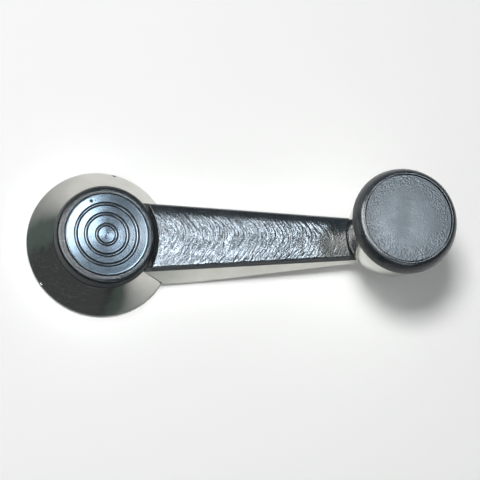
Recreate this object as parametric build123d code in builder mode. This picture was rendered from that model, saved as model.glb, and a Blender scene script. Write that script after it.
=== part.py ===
from build123d import *
import math
import os

# Window winder: a crank arm on a splined hub, a free-turning escutcheon behind the hub and a
# free-turning knob at the arm's end. Millimetres. The origin is on the spindle axis at the door's
# face, +Z points away from the door and +X runs along the arm to the knob.

# ---- crank and arm -----------------------------------------------------------------------------
crank_throw = 108.0  # spindle axis to knob axis
root_x = 20.0  # station where the root sizes of the arm are given
tip_x = 90.0  # station where the tip sizes of the arm are given
ledge_root_half = 12.8  # half width of the pad ledge at the root station
ledge_tip_half = 8.5  # half width of the pad ledge at the tip station
ledge_root_z = 12.5  # height of the pad ledge at the root station
ledge_slope = 2.25  # fall of the arm's top towards the knob, degrees
flank_draft = 14.7  # lean of the arm's sides, degrees
keel_root_z = 1.3  # underside of the arm next to the escutcheon
keel_tip_z = 6.4  # underside of the arm under the knob
keel_knee_x = 37.0  # where the underside starts to rise
arm_wall = 1.9
arm_roof = 2.2  # metal left between the hollow underside and the land under the pad
rib_thickness = 1.5
rib_set_back = 1.2  # how far the ribs stop short of the underside
rib_count = 5
tip_radius = 10.0
tip_seat_z = 11.4
tip_seat_radius = 8.6

# ---- pad ---------------------------------------------------------------------------------------
pad_height = 3.0
pad_skin = 1.15
pad_side = 1.4
pad_draft = 16.0
pad_edge_round = 0.9
pad_fit = 0.08
pad_root_arc = 25.0  # radius of the hollow end that faces the hub
pad_root_gap = 0.8  # hub cap to pad on the centre line
pad_tip_gap = 1.2  # knob skirt to pad

# ---- hub ---------------------------------------------------------------------------------------
boss_radius = 8.5
hub_radius = 16.9
hub_floor_z = 9.6
hub_top_z = 15.4
well_radius = 12.6
well_floor_z = 11.0
neck_start_x = 13.0  # inside the hub's drum
neck_depth = 3.0  # metal of the neck below the ledge plane, before the escutcheon's clearance
snap_groove_depth = 0.5
snap_groove_z = 12.9
snap_groove_height = 1.1
clip_groove_z = 6.4
clip_groove_depth = 0.7
clip_thickness = 0.8
clip_width = 1.7  # how far the clip stands out of its groove
clip_mouth = 6.0
clip_ear = 1.3
clip_slack = 0.1  # groove height over the clip's thickness

# ---- splined insert and screw ------------------------------------------------------------------
insert_radius = 6.6
insert_top_z = 9.3
pilot_radius = 5.3
pilot_length = 3.0
spline_root_radius = 4.45
spline_tooth_depth = 0.4
spline_count = 24
screw_hole_radius = 3.3
screw_radius = 2.9
screw_length = 9.5  # under the head
screw_point = 0.5  # chamfer at the screw's end
head_radius = 5.2
head_height = 2.9
cross_width = 1.1  # cross recess
cross_depth = 1.75
cross_draft = 8.0
washer_radius = 6.6
washer_thickness = 0.9
lock_washer_radius = 5.3
lock_washer_thickness = 1.2
lock_washer_split = 0.5
lock_washer_lean = 35.0  # lean of the split, degrees

# ---- hub cap and medallion ---------------------------------------------------------------------
cap_outer_radius = 19.1  # at the foot of the cap's wall
cap_top_radius = 18.5
cap_top_z = 18.0
cap_foot_z = 13.4
cap_wall = 1.5
cap_edge_round = 1.4
cap_floor_thickness = 1.0
cap_fit = 0.15
cap_to_arm = 0.3  # side clearance between the cap's wall and the arm's root
apron_thickness = 0.8
apron_to_pad = 0.25
medallion_radius = 15.7
medallion_top_z = 18.4
medallion_thickness = 1.0
medallion_edge_drop = 0.7
medallion_fit = 0.12
ring_radii = (3.2, 4.2, 7.3, 8.4, 11.0, 12.1)  # engraved circles
ring_width = 0.42
ring_depth = 0.22
finger_width = 5.0
finger_thickness = 1.1

# ---- escutcheon --------------------------------------------------------------------------------
rim_radius = 27.3
rim_z = 1.0  # underside of the rim, on the felt ring
rim_thickness = 0.8
shoulder_radius = 19.0
shoulder_z = 12.0
dish_wall = 1.4
dish_well_radius = 17.55
dish_web_z = 7.4
dish_web_thickness = 1.3
dish_rib_count = 8
dish_rib_thickness = 1.1
arm_to_dish_gap = 0.6
turning_fit = 0.06  # radial running clearance of both turning pieces
felt_width = 2.0
felt_set_back = 0.2  # felt ring inside the rim's edge
rim_lip = 0.5  # metal of the rim's foot beyond the felt
washer_fit = 0.2  # friction washer to boss
friction_washer_radius = 14.0

# ---- knob --------------------------------------------------------------------------------------
skirt_foot_radius = 14.1
skirt_foot_z = 10.9
skirt_mid_radius = 17.0
skirt_mid_z = 21.0
skirt_top_radius = 18.6
skirt_top_z = 36.5
skirt_wall = 1.0
knob_foot_lip = 0.1  # the cap's foot stands out from the skirt
knob_belly = 1.45  # corner of the cap's outline before rounding, out from its foot
knob_belly_rise = 2.4  # above the skirt's top
knob_shoulder = 0.9  # corner of the cap's outline before rounding, out from its lip
knob_shoulder_drop = 0.5  # below the top of the cap
knob_lip_width = 0.25
knob_cap_rise = 8.9  # top of the cap, above the skirt
knob_cap_round = 2.0
inset_radius = 16.6
inset_thickness = 1.2
inset_sink = 0.35
inset_crown = 0.3
inset_fit = 0.1
knob_cap_wall = 2.0
pin_radius = 3.5
pin_tail_radius = 3.0
pin_flange_radius = 5.4
pin_flange_thickness = 1.2
pin_chamfer = 0.6
pin_rise = 2.6  # end of the pin, above the skirt's top
rivet_radius = 4.6
rivet_height = 0.9
rivet_washer_radius = 5.6
rivet_washer_thickness = 0.6
bush_wall = 1.1
bush_flange_radius = 6.4
bush_flange_thickness = 0.8
core_sleeve_wall = 1.8
core_web_thickness = 1.6
core_rib_thickness = 1.4
core_rib_count = 6
thrust_washer_thickness = 0.6
spring_washer_thickness = 0.4
spring_washer_cone = 0.35
push_nut_thickness = 0.5
push_nut_radius = 6.2
push_nut_flat = 1.2  # pin to the flat part of the disc
push_nut_lift = 0.8  # rise of the teeth
push_nut_slot = 0.8
push_nut_teeth = 6
running_gap = 0.15  # axial clearance between turning faces

os.makedirs("parts", exist_ok=True)


def finish(builder, name):
    builder.part.label = name
    export_step(builder.part, "parts/" + name + ".step")


# ---- worked-out sizes --------------------------------------------------------------------------
slope_tan = math.tan(math.radians(ledge_slope))
draft_tan = math.tan(math.radians(flank_draft))
land_height = pad_height - pad_skin
knob_top_z = skirt_top_z + knob_cap_rise
pin_top_z = skirt_top_z + pin_rise


def ledge_z(x):
    return ledge_root_z - slope_tan * (x - root_x)


def ledge_half(x):
    return ledge_root_half + (ledge_tip_half - ledge_root_half) * (x - root_x) / (tip_x - root_x)


def flank_half(x):
    """Half width of the arm's flank carried down to the door's face."""
    return ledge_half(x) + draft_tan * ledge_z(x)


def arm_plan(start_x, end_x, half_width, inset):
    """Tapering outline of the arm seen from above, drawn in the current sketch."""
    start_half = half_width(start_x) - inset
    end_half = half_width(end_x) - inset
    Polygon(
        (start_x, -start_half),
        (end_x, -end_half),
        (end_x, end_half),
        (start_x, start_half),
        align=None,
    )


# The ledge plane lies along the sloping top of the arm, its local x measured from the hub axis.
ledge_plane = Plane(
    origin=(0, 0, ledge_z(0)),
    x_dir=(1, 0, -slope_tan),
    z_dir=(slope_tan, 0, 1),
)
pad_start_x = cap_outer_radius + pad_root_gap
pad_end_radius = skirt_foot_radius + pad_tip_gap

# ---- clearance solids for the crank arm --------------------------------------------------------
with BuildPart() as dish_clearance:
    with BuildSketch(Plane.XZ):
        Polygon(
            (0, 0),
            (rim_radius + arm_to_dish_gap, 0),
            (rim_radius + arm_to_dish_gap, rim_z + rim_thickness + arm_to_dish_gap),
            (shoulder_radius + arm_to_dish_gap, shoulder_z + arm_to_dish_gap),
            (0, shoulder_z + arm_to_dish_gap),
            align=None,
        )
    revolve(axis=Axis.Z)

with BuildPart() as rib_grid:
    with Locations((crank_throw / 2, 0, hub_top_z / 2)):
        Box(crank_throw, rib_thickness, hub_top_z)
    rib_start = rim_radius + arm_wall
    rib_pitch = (crank_throw - tip_radius - rib_start) / (rib_count + 1)
    for index in range(rib_count):
        with Locations((rib_start + rib_pitch * (index + 1), 0, hub_top_z / 2)):
            Box(rib_thickness, 4 * ledge_root_half, hub_top_z)
    with BuildSketch(Plane.XZ):
        Polygon(
            (0, keel_root_z + rib_set_back),
            (keel_knee_x, keel_root_z + rib_set_back),
            (tip_x, keel_tip_z + rib_set_back),
            (crank_throw, keel_tip_z + rib_set_back),
            (crank_throw, hub_top_z),
            (0, hub_top_z),
            align=None,
        )
    extrude(amount=4 * ledge_root_half, both=True, mode=Mode.INTERSECT)

with BuildPart() as arm_pocket:
    with BuildSketch():
        arm_plan(0, crank_throw, flank_half, arm_wall)
    extrude(amount=hub_top_z, taper=flank_draft)
    roof_drop = land_height - arm_roof
    with BuildSketch(Plane.XZ):
        Polygon(
            (0, 0),
            (crank_throw, 0),
            (crank_throw, ledge_z(crank_throw) + roof_drop),
            (0, ledge_z(0) + roof_drop),
            align=None,
        )
    extrude(amount=4 * ledge_root_half, both=True, mode=Mode.INTERSECT)
    Cylinder(rim_radius - arm_wall, 4 * hub_top_z, mode=Mode.SUBTRACT)
    with Locations((crank_throw, 0, 0)):
        Cylinder(tip_radius + arm_wall, 4 * hub_top_z, mode=Mode.SUBTRACT)
    add(rib_grid.part, mode=Mode.SUBTRACT)

with BuildPart() as arm_land:
    with BuildSketch(ledge_plane):
        arm_plan(root_x, crank_throw, ledge_half, pad_side)
    extrude(amount=land_height, taper=pad_draft)
    with Locations((crank_throw, 0, 0)):
        Cylinder(pad_end_radius + pad_side, 4 * hub_top_z, mode=Mode.SUBTRACT)

# ---- crank arm: one hollow die casting with hub, boss, arm and knob seat ------------------------
with BuildPart() as crank_arm:
    with BuildSketch():
        arm_plan(0, crank_throw, flank_half, 0)
    extrude(amount=hub_top_z, taper=flank_draft)
    with BuildSketch(Plane.XZ):
        Polygon(
            (0, keel_root_z),
            (keel_knee_x, keel_root_z),
            (tip_x, keel_tip_z),
            (crank_throw, keel_tip_z),
            (crank_throw, ledge_z(crank_throw)),
            (0, ledge_z(0)),
            align=None,
        )
    extrude(amount=4 * ledge_root_half, both=True, mode=Mode.INTERSECT)
    Cylinder(cap_outer_radius + cap_to_arm, 4 * hub_top_z, mode=Mode.SUBTRACT)
    add(arm_land.part)
    # neck that carries the land over the escutcheon's shoulder into the hub
    with BuildSketch(ledge_plane):
        arm_plan(neck_start_x, root_x + 2 * arm_wall, ledge_half, pad_side)
    extrude(amount=-neck_depth)
    with BuildSketch(ledge_plane):
        arm_plan(neck_start_x, root_x, ledge_half, pad_side)
    extrude(amount=land_height, taper=pad_draft)
    add(dish_clearance.part, mode=Mode.SUBTRACT)
    add(arm_pocket.part, mode=Mode.SUBTRACT)
    # hub drum and spindle boss
    with BuildSketch(Plane.XY.offset(hub_floor_z)):
        Circle(hub_radius)
    extrude(amount=hub_top_z - hub_floor_z)
    with BuildSketch():
        Circle(boss_radius)
    extrude(amount=hub_floor_z)
    # knob seat
    with BuildSketch(Plane.XY.offset(keel_tip_z)):
        with Locations((crank_throw, 0)):
            Circle(tip_radius + draft_tan * (ledge_z(crank_throw) - keel_tip_z))
    extrude(amount=ledge_z(crank_throw) - keel_tip_z, taper=flank_draft)
    with BuildSketch(Plane.XY.offset(keel_tip_z)):
        with Locations((crank_throw, 0)):
            Circle(tip_seat_radius)
    extrude(amount=tip_seat_z - keel_tip_z)
    # screw well with its snap groove
    with BuildSketch(Plane.XY.offset(well_floor_z)):
        Circle(well_radius)
    extrude(amount=hub_top_z - well_floor_z, mode=Mode.SUBTRACT)
    with BuildSketch(Plane.XY.offset(snap_groove_z)):
        Circle(well_radius + snap_groove_depth)
    extrude(amount=snap_groove_height, mode=Mode.SUBTRACT)
    # bores
    with BuildSketch():
        Circle(insert_radius)
    extrude(amount=insert_top_z, mode=Mode.SUBTRACT)
    with BuildSketch():
        Circle(screw_hole_radius)
    extrude(amount=hub_top_z, mode=Mode.SUBTRACT)
    with BuildSketch(Plane.XY.offset(keel_tip_z)):
        with Locations((crank_throw, 0)):
            Circle(pin_tail_radius)
    extrude(amount=tip_seat_z, mode=Mode.SUBTRACT)
    # groove for the escutcheon's clip
    with BuildSketch(Plane.XY.offset(clip_groove_z)):
        Circle(boss_radius + 1)
        Circle(boss_radius - clip_groove_depth, mode=Mode.SUBTRACT)
    extrude(amount=clip_thickness + clip_slack, mode=Mode.SUBTRACT)
finish(crank_arm, "crank_arm")

# ---- arm pad: a soft grained tray over the land --------------------------------------------------
with BuildPart() as pad_pocket:
    with BuildSketch(ledge_plane):
        arm_plan(0, crank_throw, ledge_half, pad_side - pad_fit)
    extrude(amount=land_height + pad_fit, taper=pad_draft)
    with Locations((crank_throw, 0, 0)):
        Cylinder(pad_end_radius + pad_side - pad_fit, 4 * hub_top_z, mode=Mode.SUBTRACT)

with BuildPart() as arm_pad:
    with BuildSketch(ledge_plane):
        arm_plan(0, crank_throw, ledge_half, 0)
    extrude(amount=pad_height, taper=pad_draft)
    with Locations((pad_start_x - pad_root_arc, 0, 0)):
        Cylinder(pad_root_arc, 4 * hub_top_z, mode=Mode.SUBTRACT)
    with Locations((crank_throw, 0, 0)):
        Cylinder(pad_end_radius, 4 * hub_top_z, mode=Mode.SUBTRACT)
    fillet(arm_pad.faces().sort_by(Axis.Z)[-1].edges(), pad_edge_round)
    add(pad_pocket.part, mode=Mode.SUBTRACT)
finish(arm_pad, "arm_pad")

# ---- splined insert: brass sleeve cast into the boss ---------------------------------------------
with BuildPart() as spline_insert:
    with BuildSketch():
        Circle(insert_radius)
    extrude(amount=insert_top_z)
    with BuildSketch():
        Circle(pilot_radius)
    extrude(amount=pilot_length, mode=Mode.SUBTRACT)
    with BuildSketch():
        Circle(spline_root_radius)
        with PolarLocations(spline_root_radius, spline_count):
            RegularPolygon(spline_tooth_depth, side_count=4)
    extrude(amount=insert_top_z, mode=Mode.SUBTRACT)
finish(spline_insert, "spline_insert")

# ---- retaining screw and its washers -------------------------------------------------------------
lock_washer_z = well_floor_z + washer_thickness
head_z = lock_washer_z + lock_washer_thickness
with BuildPart() as flat_washer:
    with BuildSketch(Plane.XY.offset(well_floor_z)):
        Circle(washer_radius)
        Circle(screw_hole_radius, mode=Mode.SUBTRACT)
    extrude(amount=washer_thickness)
finish(flat_washer, "flat_washer")

with BuildPart() as lock_washer:
    with BuildSketch(Plane.XY.offset(lock_washer_z)):
        Circle(lock_washer_radius)
        Circle(screw_hole_radius, mode=Mode.SUBTRACT)
    extrude(amount=lock_washer_thickness)
    split_x = (lock_washer_radius + screw_hole_radius) / 2
    split_z = lock_washer_z + lock_washer_thickness / 2
    with Locations(Location((split_x, 0, split_z), (lock_washer_lean, 0, 0))):
        Box(2 * lock_washer_radius, lock_washer_split, 4 * lock_washer_thickness, mode=Mode.SUBTRACT)
finish(lock_washer, "lock_washer")

with BuildPart() as spindle_screw:
    with BuildSketch(Plane.XY.offset(head_z)):
        Circle(head_radius)
    extrude(amount=head_height)
    fillet(spindle_screw.faces().sort_by(Axis.Z)[-1].edges(), head_height / 2)
    with BuildSketch(Plane.XY.offset(head_z)):
        Circle(screw_radius)
    extrude(amount=-screw_length)
    chamfer(spindle_screw.faces().sort_by(Axis.Z)[0].edges(), screw_point)
    with BuildSketch(Plane.XY.offset(head_z + head_height)):
        Rectangle(head_radius, cross_width)
        Rectangle(cross_width, head_radius)
    extrude(amount=-cross_depth, taper=cross_draft, mode=Mode.SUBTRACT)
finish(spindle_screw, "spindle_screw")

# ---- hub cap: grained ring with a floor for the medallion and four snap fingers --------------------
medallion_z = medallion_top_z - medallion_thickness
cap_floor_z = medallion_z - cap_floor_thickness
recess_radius = medallion_radius + medallion_fit

# apron of the cap that closes the gap over the neck, up to the pad's hollow end
with BuildPart() as apron:
    with BuildSketch(ledge_plane.offset(land_height + cap_fit)):
        arm_plan(hub_radius, pad_start_x, ledge_half, pad_side)
    extrude(amount=apron_thickness)
    with Locations((pad_start_x - pad_root_arc, 0, 0)):
        Cylinder(pad_root_arc - apron_to_pad, 4 * hub_top_z, mode=Mode.INTERSECT)
    Cylinder(hub_radius + cap_fit, 4 * hub_top_z, mode=Mode.SUBTRACT)

with BuildPart() as hub_cap:
    with BuildSketch(Plane.XZ):
        Polygon(
            (0, cap_floor_z),
            (well_radius + cap_wall, cap_floor_z),
            (well_radius + cap_wall, hub_top_z),
            (hub_radius + cap_fit, hub_top_z),
            (hub_radius + cap_fit, cap_foot_z),
            (cap_outer_radius, cap_foot_z),
            (cap_top_radius, cap_top_z),
            (recess_radius, cap_top_z),
            (recess_radius, medallion_z),
            (0, medallion_z),
            align=None,
        )
    revolve(axis=Axis.Z)
    crown_edge = hub_cap.edges().filter_by(GeomType.CIRCLE).group_by(Axis.Z)[-1].sort_by(SortBy.RADIUS)[-1]
    fillet(crown_edge, cap_edge_round)
    # gap in the wall for the arm's neck
    with BuildSketch(ledge_plane.offset(-neck_depth)):
        arm_plan(neck_start_x - cap_fit, root_x + 2 * arm_wall, ledge_half, pad_side - cap_fit)
    extrude(amount=neck_depth + land_height + cap_fit, mode=Mode.SUBTRACT)
    add(apron.part)
    # snap fingers with hooks that spring into the well's groove
    finger_radius = well_radius - cap_fit
    with BuildSketch(Plane.XY.offset(snap_groove_z + cap_fit)):
        Rectangle(3 * well_radius, finger_width)
        Rectangle(finger_width, 3 * well_radius)
        Circle(finger_radius, mode=Mode.INTERSECT)
        Circle(finger_radius - finger_thickness, mode=Mode.SUBTRACT)
    extrude(amount=cap_floor_z - snap_groove_z - cap_fit)
    with BuildSketch(Plane.XY.offset(snap_groove_z + cap_fit)):
        Rectangle(3 * well_radius, finger_width)
        Rectangle(finger_width, 3 * well_radius)
        Circle(well_radius + snap_groove_depth - cap_fit, mode=Mode.INTERSECT)
        Circle(finger_radius - finger_thickness, mode=Mode.SUBTRACT)
    extrude(amount=snap_groove_height - 2 * cap_fit)
finish(hub_cap, "hub_cap")

with BuildPart() as medallion:
    with BuildSketch(Plane.XZ):
        Polygon(
            (0, medallion_z),
            (medallion_radius, medallion_z),
            (medallion_radius, medallion_top_z - medallion_edge_drop),
            (medallion_radius - medallion_edge_drop, medallion_top_z),
            (0, medallion_top_z),
            align=None,
        )
        for ring_radius in ring_radii:
            Polygon(
                (ring_radius - ring_width / 2, medallion_top_z),
                (ring_radius, medallion_top_z - ring_depth),
                (ring_radius + ring_width / 2, medallion_top_z),
                align=None,
                mode=Mode.SUBTRACT,
            )
    revolve(axis=Axis.Z)
finish(medallion, "medallion")

# ---- escutcheon: hollow bell that stays with the door while the crank turns ------------------------
cone_rise = shoulder_z - rim_z - rim_thickness
cone_run = rim_radius - shoulder_radius
cone_length = math.hypot(cone_rise, cone_run)
boss_bore = boss_radius + turning_fit


def cone_line(inset):
    """Shoulder and foot of the bell's section, moved inwards by the inset."""
    step_r = inset * cone_rise / cone_length
    step_z = inset * cone_run / cone_length
    shoulder = (shoulder_radius - step_r, shoulder_z - step_z)
    foot = (rim_radius - step_r, rim_z + rim_thickness - step_z)
    return shoulder, foot


outer_line = cone_line(0)
inner_line = cone_line(dish_wall)
rib_line = cone_line(dish_wall / 2)
rim_foot_width = felt_width + rim_lip
with BuildPart() as escutcheon:
    with BuildSketch(Plane.XZ):
        Polygon(outer_line[0], outer_line[1], inner_line[1], inner_line[0], align=None)
        Polygon(
            (rim_radius - rim_foot_width, rim_z),
            (rim_radius, rim_z),
            (rim_radius, rim_z + rim_thickness),
            (rim_radius - rim_foot_width, rim_z + rim_thickness + dish_wall / 2),
            align=None,
        )
        Polygon(
            (boss_bore, dish_web_z),
            (dish_well_radius + dish_wall, dish_web_z),
            (dish_well_radius + dish_wall, shoulder_z - dish_wall),
            (shoulder_radius, shoulder_z),
            (dish_well_radius, shoulder_z),
            (dish_well_radius, dish_web_z + dish_web_thickness),
            (boss_bore, dish_web_z + dish_web_thickness),
            align=None,
        )
        with Locations((rim_radius / 2, (rim_z + shoulder_z) / 2)):
            Rectangle(rim_radius, shoulder_z - rim_z, mode=Mode.INTERSECT)
    revolve(axis=Axis.Z)
    # stiffening ribs under the cone
    for index in range(dish_rib_count):
        rib_angle = (index + 0.5) * 360 / dish_rib_count
        rib_plane = Plane.XZ.rotated((0, 0, rib_angle))
        with BuildSketch(rib_plane):
            Polygon(
                rib_line[0],
                rib_line[1],
                (rim_radius - rim_foot_width, rim_z + rim_thickness),
                (dish_well_radius + dish_wall / 2, dish_web_z),
                align=None,
            )
        extrude(amount=dish_rib_thickness / 2, both=True)
finish(escutcheon, "escutcheon")

with BuildPart() as felt_ring:
    with BuildSketch():
        Circle(rim_radius - felt_set_back)
        Circle(rim_radius - felt_set_back - felt_width, mode=Mode.SUBTRACT)
    extrude(amount=rim_z)
finish(felt_ring, "felt_ring")

with BuildPart() as friction_washer:
    with BuildSketch(Plane.XY.offset(dish_web_z + dish_web_thickness + running_gap)):
        Circle(friction_washer_radius)
        Circle(boss_radius + washer_fit, mode=Mode.SUBTRACT)
    extrude(amount=hub_floor_z - dish_web_z - dish_web_thickness - running_gap)
finish(friction_washer, "friction_washer")

clip_inner = boss_radius - clip_groove_depth
clip_outer = boss_radius + clip_width
with BuildPart() as escutcheon_clip:
    with BuildSketch(Plane.XY.offset(clip_groove_z + clip_slack / 2)):
        Circle(clip_outer)
        Circle(clip_inner, mode=Mode.SUBTRACT)
        with Locations((-clip_outer, 0)):
            Rectangle(2 * clip_outer, clip_mouth, mode=Mode.SUBTRACT)
        ear_x = -math.sqrt(clip_outer**2 - clip_mouth**2 / 4)
        for side in (-1, 1):
            with Locations((ear_x, side * (clip_mouth / 2 + clip_ear / 2))):
                Circle(clip_ear)
                Circle(clip_ear / 2, mode=Mode.SUBTRACT)
    extrude(amount=clip_thickness)
finish(escutcheon_clip, "escutcheon_clip")

# ---- knob pin: shouldered steel stud riveted through the arm's end ---------------------------------
knob_axis = Axis((crank_throw, 0, 0), (0, 0, 1))
knob_section = Plane(origin=(crank_throw, 0, 0), x_dir=(1, 0, 0), z_dir=(0, -1, 0))
flange_top_z = tip_seat_z + pin_flange_thickness
rivet_top_z = keel_tip_z - rivet_washer_thickness
with BuildPart() as knob_pin:
    with BuildSketch(knob_section):
        with BuildLine():
            Polyline(
                (0, pin_top_z),
                (pin_radius - pin_chamfer, pin_top_z),
                (pin_radius, pin_top_z - pin_chamfer),
                (pin_radius, flange_top_z),
                (pin_flange_radius, flange_top_z),
                (pin_flange_radius, tip_seat_z),
                (pin_tail_radius, tip_seat_z),
                (pin_tail_radius, rivet_top_z),
                (rivet_radius, rivet_top_z),
            )
            TangentArc((0, rivet_top_z - rivet_height), (rivet_radius, rivet_top_z), tangent=(1, 0))
            Line((0, rivet_top_z - rivet_height), (0, pin_top_z))
        make_face()
    revolve(axis=knob_axis)
finish(knob_pin, "knob_pin")

with BuildPart() as rivet_washer:
    with BuildSketch(Plane.XY.offset(rivet_top_z)):
        with Locations((crank_throw, 0)):
            Circle(rivet_washer_radius)
            Circle(pin_tail_radius, mode=Mode.SUBTRACT)
    extrude(amount=rivet_washer_thickness)
finish(rivet_washer, "rivet_washer")

with BuildPart() as thrust_washer:
    with BuildSketch(Plane.XY.offset(flange_top_z)):
        with Locations((crank_throw, 0)):
            Circle(bush_flange_radius)
            Circle(pin_radius + turning_fit, mode=Mode.SUBTRACT)
    extrude(amount=thrust_washer_thickness)
finish(thrust_washer, "thrust_washer")

# dished spring washer that takes up the knob's end play
spring_z = flange_top_z + thrust_washer_thickness
spring_inner = pin_radius + 2 * turning_fit
with BuildPart() as spring_washer:
    with BuildSketch(knob_section):
        Polygon(
            (bush_flange_radius, spring_z),
            (bush_flange_radius, spring_z + spring_washer_thickness),
            (spring_inner, spring_z + spring_washer_thickness + spring_washer_cone),
            (spring_inner, spring_z + spring_washer_cone),
            align=None,
        )
    revolve(axis=knob_axis)
finish(spring_washer, "spring_washer")

# ---- knob: bush, ribbed core, plated skirt, cap and grained inset ----------------------------------
bush_z = spring_z + spring_washer_thickness + spring_washer_cone + running_gap
bush_bore = pin_radius + turning_fit
bush_radius = bush_bore + bush_wall
with BuildPart() as knob_bush:
    with BuildSketch(knob_section):
        Polygon(
            (bush_bore, bush_z),
            (bush_flange_radius, bush_z),
            (bush_flange_radius, bush_z + bush_flange_thickness),
            (bush_radius, bush_z + bush_flange_thickness),
            (bush_radius, skirt_top_z + running_gap),
            (bush_bore, skirt_top_z + running_gap),
            align=None,
        )
    revolve(axis=knob_axis)
finish(knob_bush, "knob_bush")


def skirt_curve(inset):
    """Foot, middle and top of the skirt's flare, moved inwards by the inset."""
    foot = (skirt_foot_radius - inset, skirt_foot_z)
    middle = (skirt_mid_radius - inset, skirt_mid_z)
    top = (skirt_top_radius - inset, skirt_top_z)
    return foot, middle, top


outer_flare = skirt_curve(0)
inner_flare = skirt_curve(skirt_wall)
with BuildPart() as knob_skirt:
    with BuildSketch(knob_section):
        with BuildLine():
            ThreePointArc(*outer_flare)
            Line(outer_flare[2], inner_flare[2])
            ThreePointArc(*reversed(inner_flare))
            Line(inner_flare[0], outer_flare[0])
        make_face()
    revolve(axis=knob_axis)
finish(knob_skirt, "knob_skirt")

core_foot_z = bush_z + bush_flange_thickness
sleeve_radius = bush_radius + core_sleeve_wall
core_flare = skirt_curve(skirt_wall + inset_fit)
with BuildPart() as knob_core:
    with Locations((crank_throw, 0, (core_foot_z + skirt_top_z) / 2)):
        with PolarLocations(0, core_rib_count // 2, angular_range=180):
            Box(2 * skirt_top_radius, core_rib_thickness, skirt_top_z - core_foot_z)
        Cylinder(sleeve_radius, skirt_top_z - core_foot_z)
    with BuildSketch(Plane.XY.offset(skirt_top_z - core_web_thickness)):
        with Locations((crank_throw, 0)):
            Circle(skirt_top_radius)
    extrude(amount=core_web_thickness)
    with BuildSketch(knob_section):
        with BuildLine():
            ThreePointArc(*core_flare)
            Polyline(core_flare[2], (0, skirt_top_z), (0, skirt_foot_z), core_flare[0])
        make_face()
    revolve(axis=knob_axis, mode=Mode.INTERSECT)
    with BuildSketch(Plane.XY.offset(core_foot_z)):
        with Locations((crank_throw, 0)):
            Circle(bush_radius)
    extrude(amount=skirt_top_z, mode=Mode.SUBTRACT)
finish(knob_core, "knob_core")

inset_z = knob_top_z - inset_sink - inset_thickness
cap_cavity_radius = skirt_top_radius - skirt_wall - inset_fit
cap_foot_radius = skirt_top_radius + knob_foot_lip
cap_lip_radius = inset_radius + inset_fit + knob_lip_width
knob_belly_radius = cap_foot_radius + knob_belly
knob_shoulder_radius = cap_lip_radius + knob_shoulder
belly_to_shoulder_z = knob_cap_rise - knob_belly_rise - knob_shoulder_drop
shoulder_turn = math.atan2(knob_shoulder, knob_shoulder_drop) - math.atan2(
    knob_belly_radius - knob_shoulder_radius, belly_to_shoulder_z
)
shoulder_run = math.hypot(knob_shoulder, knob_shoulder_drop)
cap_round = min(knob_cap_round, 0.9 * shoulder_run / math.tan(shoulder_turn / 2))  # fits the slope to the lip
with BuildPart() as knob_cap:
    with BuildSketch(knob_section):
        with BuildLine():
            FilletPolyline(
                (cap_foot_radius, skirt_top_z),
                (knob_belly_radius, skirt_top_z + knob_belly_rise),
                (knob_shoulder_radius, knob_top_z - knob_shoulder_drop),
                (cap_lip_radius, knob_top_z),
                radius=cap_round,
            )
            Polyline(
                (cap_lip_radius, knob_top_z),
                (inset_radius + inset_fit, knob_top_z),
                (inset_radius + inset_fit, inset_z),
                (0, inset_z),
                (0, inset_z - knob_cap_wall),
                (cap_cavity_radius, inset_z - knob_cap_wall),
                (cap_cavity_radius, skirt_top_z),
                (cap_foot_radius, skirt_top_z),
            )
        make_face()
    revolve(axis=knob_axis)
finish(knob_cap, "knob_cap")

with BuildPart() as knob_inset:
    with BuildSketch(knob_section):
        with BuildLine():
            crown_z = inset_z + inset_thickness + inset_crown
            edge_z = crown_z - inset_crown
            Polyline((inset_radius, edge_z), (inset_radius, inset_z), (0, inset_z), (0, crown_z))
            TangentArc((0, crown_z), (inset_radius, edge_z), tangent=(1, 0))
        make_face()
    revolve(axis=knob_axis)
finish(knob_inset, "knob_inset")

# push-on nut: dished disc whose six teeth bite the pin above the bush
nut_z = skirt_top_z + 2 * running_gap
with BuildPart() as push_nut:
    with BuildSketch(knob_section):
        Polygon(
            (push_nut_radius, nut_z),
            (push_nut_radius, nut_z + push_nut_thickness),
            (pin_radius + push_nut_flat, nut_z + push_nut_thickness),
            (pin_radius, nut_z + push_nut_thickness + push_nut_lift),
            (pin_radius, nut_z + push_nut_lift),
            (pin_radius + push_nut_flat, nut_z),
            align=None,
        )
    revolve(axis=knob_axis)
    with Locations((crank_throw, 0, nut_z)):
        with PolarLocations(pin_radius, push_nut_teeth):
            slot_depth = 4 * (push_nut_thickness + push_nut_lift)
            Box(2 * push_nut_flat, push_nut_slot, slot_depth, mode=Mode.SUBTRACT)
finish(push_nut, "push_nut")
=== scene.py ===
import math
import bmesh
import bpy
from mathutils import Matrix, Vector, noise


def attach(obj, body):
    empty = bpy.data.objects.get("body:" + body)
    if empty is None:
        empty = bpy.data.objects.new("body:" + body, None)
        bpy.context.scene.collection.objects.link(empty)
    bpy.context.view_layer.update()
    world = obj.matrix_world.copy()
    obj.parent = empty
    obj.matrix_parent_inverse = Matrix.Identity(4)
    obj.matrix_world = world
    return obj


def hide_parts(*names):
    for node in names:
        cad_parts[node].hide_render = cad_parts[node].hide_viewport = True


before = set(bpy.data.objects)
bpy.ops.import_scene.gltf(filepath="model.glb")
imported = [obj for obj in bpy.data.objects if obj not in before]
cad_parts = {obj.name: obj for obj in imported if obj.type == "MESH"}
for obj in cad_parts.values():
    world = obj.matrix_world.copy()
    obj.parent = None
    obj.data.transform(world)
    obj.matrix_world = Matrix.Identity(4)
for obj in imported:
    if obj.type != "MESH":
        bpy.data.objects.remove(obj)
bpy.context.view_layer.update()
print("frame loaded:", len(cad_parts), "nodes")

mm = 0.001
# without a seed, noise_vector would draw its offsets from the clock
grainSeed = 1795418169
noise.seed_set(grainSeed)


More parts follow.
